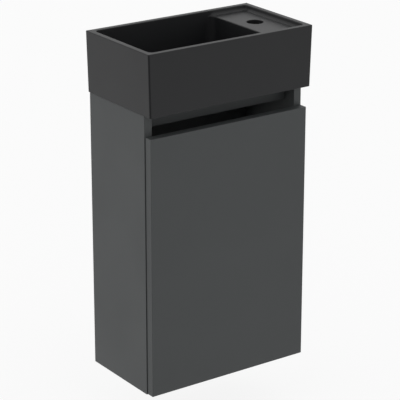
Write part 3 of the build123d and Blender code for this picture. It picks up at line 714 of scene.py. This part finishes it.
    def _dish(self, sheet: MeshSheet) -> None:
        """Shallow dish round the waste hole."""
        x, y, radius = self.waste
        dish_floor = self.bowl_floor - self.dish_depth
        rings = [sheet.circle((x, y), self.dish_radius + out, self.bowl_floor - down)
                 for out, down in self.DISH_LIP]
        rings += [sheet.circle((x, y), radius + out, dish_floor - down) for out, down in self.WASTE_LIP]
        rings.append(sheet.circle((x, y), radius, self.under_bowl))
        sheet.bands(rings)

    def _underside(self, sheet: MeshSheet) -> None:
        """Pocket inside the skirt and the taller pocket below the ledge."""
        right = self.width / 2 - self.side_draft - self.skirt
        front = -self.depth + self.front_draft + self.skirt
        back = -self.skirt
        radius = self.corner
        whole = Outline(-right, right, front, back, radius, radius, self.pocket_left)
        low = self._offset(sheet, whole, 0.0, self.bottom)
        high = self._offset(sheet, whole, 0.0, self.under_bowl)
        sheet.band(low, high)
        count = whole.right_count
        upper = self._offset(sheet, whole, 0.0, self.under_ledge)
        for index in range(count):
            sheet.mesh.faces.new((high[index], high[index + 1], upper[index + 1], upper[index]))
        for vert in upper[count + 1:]:
            sheet.mesh.verts.remove(vert)
        sheet.mesh.faces.new((high[count], high[0], upper[0], upper[count]))

    def build(self) -> bpy.types.Object:
        """Make the basin as one closed body.

        Returns:
            The finished piece, riding on the carcass.
        """
        sheet = MeshSheet()
        inner = self._outer_skin(sheet)
        self._well_skin(sheet, inner)
        self._bowl_skin(sheet)
        self._hole(sheet, self.tap_hole, self.ledge_top, self.under_ledge, self.tap_round)
        self._dish(sheet)
        self._underside(sheet)
        sheet.merge()
        for height, normal in ((self.ledge_top, 1), (self.bowl_floor, 1), (self.bottom, -1),
                               (self.under_bowl, -1), (self.under_ledge, -1)):
            sheet.fill(height, normal)
        piece = sheet.finish("basin_body", GLAZE)
        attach(piece, "carcass")
        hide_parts("basin")
        return piece


class ScrewTree:
    """Geometry Nodes tree that sets a round-headed screw with a cross recess on every point.

    SIZES holds the tree's default sizes in millimetres, and the shares below it are of the head's
    radius, of its height and of the shaft's radius.
    """

    SIZES = {"Head radius": 3.4, "Head height": 1.4, "Shaft radius": 1.75, "Shaft length": 11.0,
             "Recess length": 3.6, "Recess width": 0.8, "Tip length": 2.5}
    SHOULDER_SHARE = 0.95
    CROWN_SHARE = 0.66
    SKIRT_SHARE = 0.4
    DOME_SHARE = 0.6
    RECESS_LEVEL = 1.05
    POINT_SHARE = 0.25
    HEAD_SIDES = 32
    SHAFT_SIDES = 24
    SEED = 7

    def __init__(self) -> None:
        """Build the tree with a named input for each size."""
        self.tree = bpy.data.node_groups.new("Cross head screws", "GeometryNodeTree")
        face = self.tree.interface
        face.new_socket("Geometry", in_out="INPUT", socket_type="NodeSocketGeometry")
        for name, value in self.SIZES.items():
            socket = face.new_socket(name, in_out="INPUT", socket_type="NodeSocketFloat")
            socket.default_value = value * MM
        face.new_socket("Finish", in_out="INPUT", socket_type="NodeSocketMaterial")
        face.new_socket("Geometry", in_out="OUTPUT", socket_type="NodeSocketGeometry")
        self.canvas = NodeCanvas(self.tree)
        self.given = self.canvas.add("NodeGroupInput")
        self._join_up()

    def _part(self, kind: str, lift: object, **inputs: object) -> bpy.types.NodeSocket:
        """Add a mesh primitive and lift it along Z.

        Args:
            kind: Identifier of the primitive's node.
            lift: Socket or number that it is moved up by.
            **inputs: Its inputs, with underscores for spaces.

        Returns:
            The moved mesh.
        """
        node = self.canvas.add(kind)
        for name, value in inputs.items():
            self.canvas.feed(node.inputs[name.replace("_", " ")], value)
        move = self.canvas.add("GeometryNodeTransform")
        offset = self.canvas.add("ShaderNodeCombineXYZ")
        self.canvas.feed(offset.inputs[2], lift)
        self.canvas.join(node.outputs["Mesh"], move.inputs["Geometry"])
        self.canvas.join(offset.outputs[0], move.inputs["Translation"])
        return move.outputs[0]

    def _recess(self) -> bpy.types.NodeSocket:
        """Two crossed bars that cut the driver's recess."""
        canvas, given = self.canvas, self.given.outputs
        top = canvas.maths("MULTIPLY", given["Head height"], self.RECESS_LEVEL)
        bars = []
        for order in ((0, 1), (1, 0)):
            size = canvas.add("ShaderNodeCombineXYZ")
            canvas.join(given["Recess length"], size.inputs[order[0]])
            canvas.join(given["Recess width"], size.inputs[order[1]])
            canvas.join(given["Head height"], size.inputs[2])
            bars.append(self._part("GeometryNodeMeshCube", top, Size=size.outputs[0]))
        merged = canvas.add("GeometryNodeMeshBoolean", operation="UNION")
        for bar in bars:
            canvas.join(bar, merged.inputs["Mesh 2"])
        return merged.outputs[0]

    def _screw(self) -> bpy.types.NodeSocket:
        """One screw, with the plane under its head at zero and its shaft pointing down."""
        canvas, given = self.canvas, self.given.outputs
        radius, height = given["Head radius"], given["Head height"]
        shoulder = canvas.maths("MULTIPLY", radius, self.SHOULDER_SHARE)
        crown = canvas.maths("MULTIPLY", radius, self.CROWN_SHARE)
        low = canvas.maths("MULTIPLY", height, self.SKIRT_SHARE)
        high = canvas.maths("MULTIPLY", height, self.DOME_SHARE)
        skirt = self._part("GeometryNodeMeshCone", 0.0, Vertices=self.HEAD_SIDES, Radius_Top=shoulder,
                           Radius_Bottom=radius, Depth=low)
        dome = self._part("GeometryNodeMeshCone", low, Vertices=self.HEAD_SIDES, Radius_Top=crown,
                          Radius_Bottom=shoulder, Depth=high)
        cut = canvas.add("GeometryNodeMeshBoolean", operation="DIFFERENCE")
        canvas.join(dome, cut.inputs["Mesh 1"])
        canvas.join(self._recess(), cut.inputs["Mesh 2"])
        straight = canvas.maths("SUBTRACT", given["Shaft length"], given["Tip length"])
        middle = canvas.maths("MULTIPLY", straight, -0.5)
        shaft = self._part("GeometryNodeMeshCylinder", middle, Vertices=self.SHAFT_SIDES,
                           Radius=given["Shaft radius"], Depth=straight)
        point = canvas.maths("MULTIPLY", given["Shaft radius"], self.POINT_SHARE)
        end = canvas.maths("MULTIPLY", given["Shaft length"], -1.0)
        tip = self._part("GeometryNodeMeshCone", end, Vertices=self.SHAFT_SIDES,
                         Radius_Top=given["Shaft radius"], Radius_Bottom=point,
                         Depth=given["Tip length"])
        whole = canvas.add("GeometryNodeJoinGeometry")
        for piece in (skirt, cut.outputs[0], shaft, tip):
            canvas.join(piece, whole.inputs[0])
        return whole.outputs[0]

    def _join_up(self) -> None:
        """Stand a screw on each point, along the point's axis and with its recess turned at random."""
        canvas = self.canvas
        axis = canvas.add("GeometryNodeInputNamedAttribute", data_type="FLOAT_VECTOR")
        axis.inputs["Name"].default_value = "axis"
        aim = canvas.add("FunctionNodeAlignRotationToVector", axis="Z")
        canvas.join(axis.outputs["Attribute"], aim.inputs["Vector"])
        turn = canvas.add("FunctionNodeRandomValue", data_type="FLOAT")
        turn.inputs[2].default_value = 0.0
        turn.inputs[3].default_value = math.pi
        turn.inputs["Seed"].default_value = self.SEED
        spin = canvas.add("FunctionNodeAxisAngleToRotation")
        spin.inputs["Axis"].default_value = (0.0, 0.0, 1.0)
        canvas.join(turn.outputs[1], spin.inputs["Angle"])
        both = canvas.add("FunctionNodeRotateRotation", rotation_space="LOCAL")
        canvas.join(aim.outputs[0], both.inputs["Rotation"])
        canvas.join(spin.outputs[0], both.inputs["Rotate By"])
        stand = canvas.add("GeometryNodeInstanceOnPoints")
        canvas.join(self.given.outputs["Geometry"], stand.inputs["Points"])
        canvas.join(self._screw(), stand.inputs["Instance"])
        canvas.join(both.outputs[0], stand.inputs["Rotation"])
        real = canvas.add("GeometryNodeRealizeInstances")
        canvas.join(stand.outputs[0], real.inputs[0])
        coat = canvas.add("GeometryNodeSetMaterial")
        canvas.join(real.outputs[0], coat.inputs["Geometry"])
        canvas.join(self.given.outputs["Finish"], coat.inputs["Material"])
        result = canvas.add("NodeGroupOutput")
        canvas.join(coat.outputs[0], result.inputs["Geometry"])

    def identifier(self, name: str) -> str:
        """Return the identifier of a named input."""
        return next(item.identifier for item in self.tree.interface.items_tree
                    if item.name == name and item.in_out == "INPUT")


@dataclass(frozen=True)
class ScrewSet:
    """The screws of one node: their sizes, and where each head's underside is and looks."""

    RECESS_RATIO = 0.24
    SHARP = 24.0

    name: str
    node: str
    body: str
    places: tuple[tuple[Triple, Triple], ...]
    head_radius: float
    head_height: float
    shaft_radius: float
    length: float
    recess: float

    def build(self, tree: ScrewTree) -> bpy.types.Object:
        """Make the screws as one plain mesh in place of their node.

        Args:
            tree: The tree that makes each screw.

        Returns:
            The finished piece.
        """
        data = bpy.data.meshes.new(self.name + "_places")
        data.from_pydata([tuple(c * MM for c in place) for place, _ in self.places], [], [])
        axes = data.attributes.new("axis", "FLOAT_VECTOR", "POINT")
        for index, (_, axis) in enumerate(self.places):
            axes.data[index].vector = axis
        marks = bpy.data.objects.new(self.name + "_places", data)
        bpy.context.scene.collection.objects.link(marks)
        maker = marks.modifiers.new("screws", "NODES")
        maker.node_group = tree.tree
        sizes = {"Head radius": self.head_radius, "Head height": self.head_height,
                 "Shaft radius": self.shaft_radius, "Shaft length": self.length,
                 "Recess length": self.recess, "Recess width": self.recess * self.RECESS_RATIO}
        for name, value in sizes.items():
            maker[tree.identifier(name)] = value * MM
        maker[tree.identifier("Finish")] = ZINC.material()
        piece = bake(marks, self.name)
        smooth(piece.data, self.SHARP)
        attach(piece, self.body)
        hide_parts(self.node)
        return piece


@dataclass
class Fasteners:
    """The screws of the hinges and of the hangers' bodies."""

    hinge_heights: tuple[float, float] = (-73.5, -448.5)
    cup_flange_face: float = -201.0
    cup_screw_x: float = 161.0
    cup_screw_half_pitch: float = 22.5
    plate_face: float = 173.5
    plate_screw_y: float = -163.0
    plate_screw_half_pitch: float = 16.0
    arm_face: float = 159.6
    arm_screw_lines: tuple[float, float] = (-170.0, -150.0)
    hanger_face: float = 154.0
    hanger_screws: tuple[Point, Point] = ((-50.0, 14.0), (-70.0, 26.0))

    def build(self) -> list[bpy.types.Object]:
        """Make every set of screws.

        Returns:
            One piece for each node that they stand for.
        """
        tree = ScrewTree()
        out, inward = (0.0, 1.0, 0.0), (-1.0, 0.0, 0.0)
        ends = (-1, 1)
        cup = tuple(((self.cup_screw_x, self.cup_flange_face, height + end * self.cup_screw_half_pitch),
                     out) for height in self.hinge_heights for end in ends)
        plate = tuple(((self.plate_face, self.plate_screw_y, height + end * self.plate_screw_half_pitch),
                       inward) for height in self.hinge_heights for end in ends)
        arm = tuple(((self.arm_face, line, height), inward)
                    for height in self.hinge_heights for line in self.arm_screw_lines)
        hanger = tuple(((side * self.hanger_face, y, z), (-float(side), 0.0, 0.0))
                       for side in ends for y, z in self.hanger_screws)
        sets = (
            ScrewSet("cup_screws", "hinge_cup_screws", "door", cup, head_radius=3.4, head_height=1.4,
                     shaft_radius=1.75, length=11.0, recess=3.6),
            ScrewSet("plate_screws", "hinge_plate_screws", "carcass", plate, head_radius=3.4,
                     head_height=1.4, shaft_radius=1.75, length=13.0, recess=3.6),
            ScrewSet("arm_screws", "hinge_arm_screws", "carcass", arm, head_radius=3.6, head_height=1.6,
                     shaft_radius=2.5, length=10.4, recess=3.8),
            ScrewSet("hanger_body_screws", "hanger_screws", "carcass", hanger, head_radius=4.5,
                     head_height=2.0, shaft_radius=2.4, length=33.0, recess=4.6),
        )
        return [screws.build(tree) for screws in sets]


@dataclass
class CarriedNodes:
    """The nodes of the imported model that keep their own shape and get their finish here."""

    skip: tuple[str, ...] = ()

    def dress(self) -> int:
        """Give every shown node the finish of its material slot.

        Returns:
            How many nodes were dressed.
        """
        slots = {entry["node"]: entry["material_slot"] for entry in frame["record"]["subparts"]}
        count = 0
        for name, node in frame["nodes"].items():
            if name in self.skip:
                continue
            node.data.materials.clear()
            node.data.materials.append(SLOT_FINISH[slots[name]].material())
            count += 1
        return count


@dataclass
class PhotoCamera:
    """Camera at the photograph's viewing angle, placed in metres and turned in degrees."""

    place: Triple = (-2.1266, -3.14242, 1.16386)
    yaw: float = 35.0748
    pitch: float = 19.9502
    roll: float = 0.0366
    focal_in_frames: float = 1886.905 / 400.0
    sensor: float = 36.0

    def build(self) -> bpy.types.Object:
        """Make the scene's camera.

        Returns:
            The camera object.
        """
        yaw, pitch, roll = (math.radians(a) for a in (self.yaw, self.pitch, self.roll))
        ahead = Vector((math.sin(yaw) * math.cos(pitch), math.cos(yaw) * math.cos(pitch), -math.sin(pitch)))
        across = Vector((math.cos(yaw), -math.sin(yaw), 0.0))
        above = across.cross(ahead)
        right = across * math.cos(roll) + above * math.sin(roll)
        up = above * math.cos(roll) - across * math.sin(roll)
        data = bpy.data.cameras.new("photo_camera")
        data.sensor_width = self.sensor
        data.lens = self.focal_in_frames * self.sensor
        data.clip_end = 100.0
        data.dof.use_dof = False
        camera = bpy.data.objects.new("photo_camera", data)
        turn = Matrix((right, up, -ahead)).transposed()
        camera.matrix_world = Matrix.Translation(self.place) @ turn.to_4x4()
        bpy.context.scene.collection.objects.link(camera)
        bpy.context.scene.camera = camera
        return camera


@dataclass
class Studio:
    """White surroundings and a pale floor, in metres. The world gives all the light."""

    floor_level: float = -0.66
    floor_half: float = 12.0
    diffuse_surround: float = 0.9
    room_towards: Triple = (-0.565, -0.807, -0.17)
    room_level: float = 0.12
    horizon_level: float = 0.5
    open_span: Point = (0.45, 0.85)
    horizon_height: float = 0.02
    horizon_span: Point = (0.06, 0.24)
    floor_tone: float = 0.85
    floor_glow: float = 0.85

    def build(self) -> None:
        """Make the world and the floor, and set the view transform."""
        self._world()
        self._floor()
        bpy.context.scene.view_settings.view_transform = "Standard"

    def _room(self, canvas: NodeCanvas) -> bpy.types.NodeSocket:
        """What reflections see: white all round, darker at the horizon and in the room's open side."""
        looking = canvas.add("ShaderNodeTexCoord").outputs["Generated"]
        towards = canvas.add("ShaderNodeVectorMath", operation="DOT_PRODUCT")
        canvas.join(looking, towards.inputs[0])
        towards.inputs[1].default_value = self.room_towards
        open_side = self._fade(canvas, towards.outputs["Value"], self.open_span, (1.0, self.room_level))
        upward = canvas.add("ShaderNodeSeparateXYZ")
        canvas.join(looking, upward.inputs[0])
        above = canvas.maths("SUBTRACT", upward.outputs[2], self.horizon_height)
        off_horizon = canvas.maths("ABSOLUTE", above, 0.0)
        horizon = self._fade(canvas, off_horizon, self.horizon_span, (self.horizon_level, 1.0))
        return canvas.maths("MULTIPLY", open_side, horizon)

    @staticmethod
    def _fade(canvas: NodeCanvas, value: bpy.types.NodeSocket, span: Point,
              levels: Point) -> bpy.types.NodeSocket:
        """Turn a value that crosses a span smoothly into one that goes between two levels."""
        fade = canvas.add("ShaderNodeMapRange", interpolation_type="SMOOTHSTEP")
        canvas.join(value, fade.inputs["Value"])
        for name, number in zip(("From Min", "From Max", "To Min", "To Max"), (*span, *levels)):
            fade.inputs[name].default_value = number
        return fade.outputs["Result"]

    def _world(self) -> None:
        """White to the camera, the studio to reflections, and an even soft light."""
        world = bpy.data.worlds.new("studio")
        bpy.context.scene.world = world
        world.use_nodes = True
        canvas = NodeCanvas(world.node_tree)
        canvas.tree.nodes.clear()
        output = canvas.add("ShaderNodeOutputWorld")
        path = canvas.add("ShaderNodeLightPath")
        plain = canvas.maths("MAXIMUM", path.outputs["Is Camera Ray"], path.outputs["Is Transmission Ray"])
        seen = canvas.maths("MAXIMUM", plain, path.outputs["Is Glossy Ray"])
        soft = canvas.add("ShaderNodeBackground")
        soft.inputs["Strength"].default_value = self.diffuse_surround
        white = canvas.add("ShaderNodeBackground")
        canvas.join(canvas.maths("MAXIMUM", plain, self._room(canvas)), white.inputs["Strength"])
        for light in (soft, white):
            light.inputs["Color"].default_value = (1, 1, 1, 1)
        canvas.join(canvas.mix(seen, soft, white).outputs[0], output.inputs["Surface"])

    def _floor(self) -> None:
        """Pale floor that stays white to the camera, keeps a soft shadow and hides from reflections."""
        half, level = self.floor_half, self.floor_level
        data = bpy.data.meshes.new("floor")
        corners = [(-half, -half, level), (half, -half, level), (half, half, level), (-half, half, level)]
        data.from_pydata(corners, [], [(0, 1, 2, 3)])
        floor = bpy.data.objects.new("floor", data)
        bpy.context.scene.collection.objects.link(floor)
        material = bpy.data.materials.new("pale_floor")
        material.use_nodes = True
        canvas = NodeCanvas(material.node_tree)
        canvas.tree.nodes.clear()
        output = canvas.add("ShaderNodeOutputMaterial")
        matte = canvas.add("ShaderNodeBsdfDiffuse")
        matte.inputs["Color"].default_value = (*(self.floor_tone,) * 3, 1.0)
        glow = canvas.add("ShaderNodeEmission")
        glow.inputs["Strength"].default_value = 1.0
        path = canvas.add("ShaderNodeLightPath")
        share = canvas.maths("MULTIPLY", path.outputs["Is Camera Ray"], self.floor_glow)
        lit = canvas.mix(share, matte, glow)
        clear = canvas.add("ShaderNodeBsdfTransparent")
        whole = canvas.mix(path.outputs["Is Glossy Ray"], lit, clear)
        canvas.join(whole.outputs[0], output.inputs["Surface"])
        data.materials.append(material)


def main() -> None:
    """Build the camera, the studio and each sub-assembly in order."""
    PhotoCamera().build()
    Studio().build()
    basin = Basin().build()
    log.info("basin: %d faces", len(basin.data.polygons))
    for screws in Fasteners().build():
        log.info("%s: %d faces", screws.name, len(screws.data.polygons))
    dressed = CarriedNodes(skip=("basin",)).dress()
    log.info("carried nodes dressed: %d", dressed)


if __name__ == "__main__":
    main()
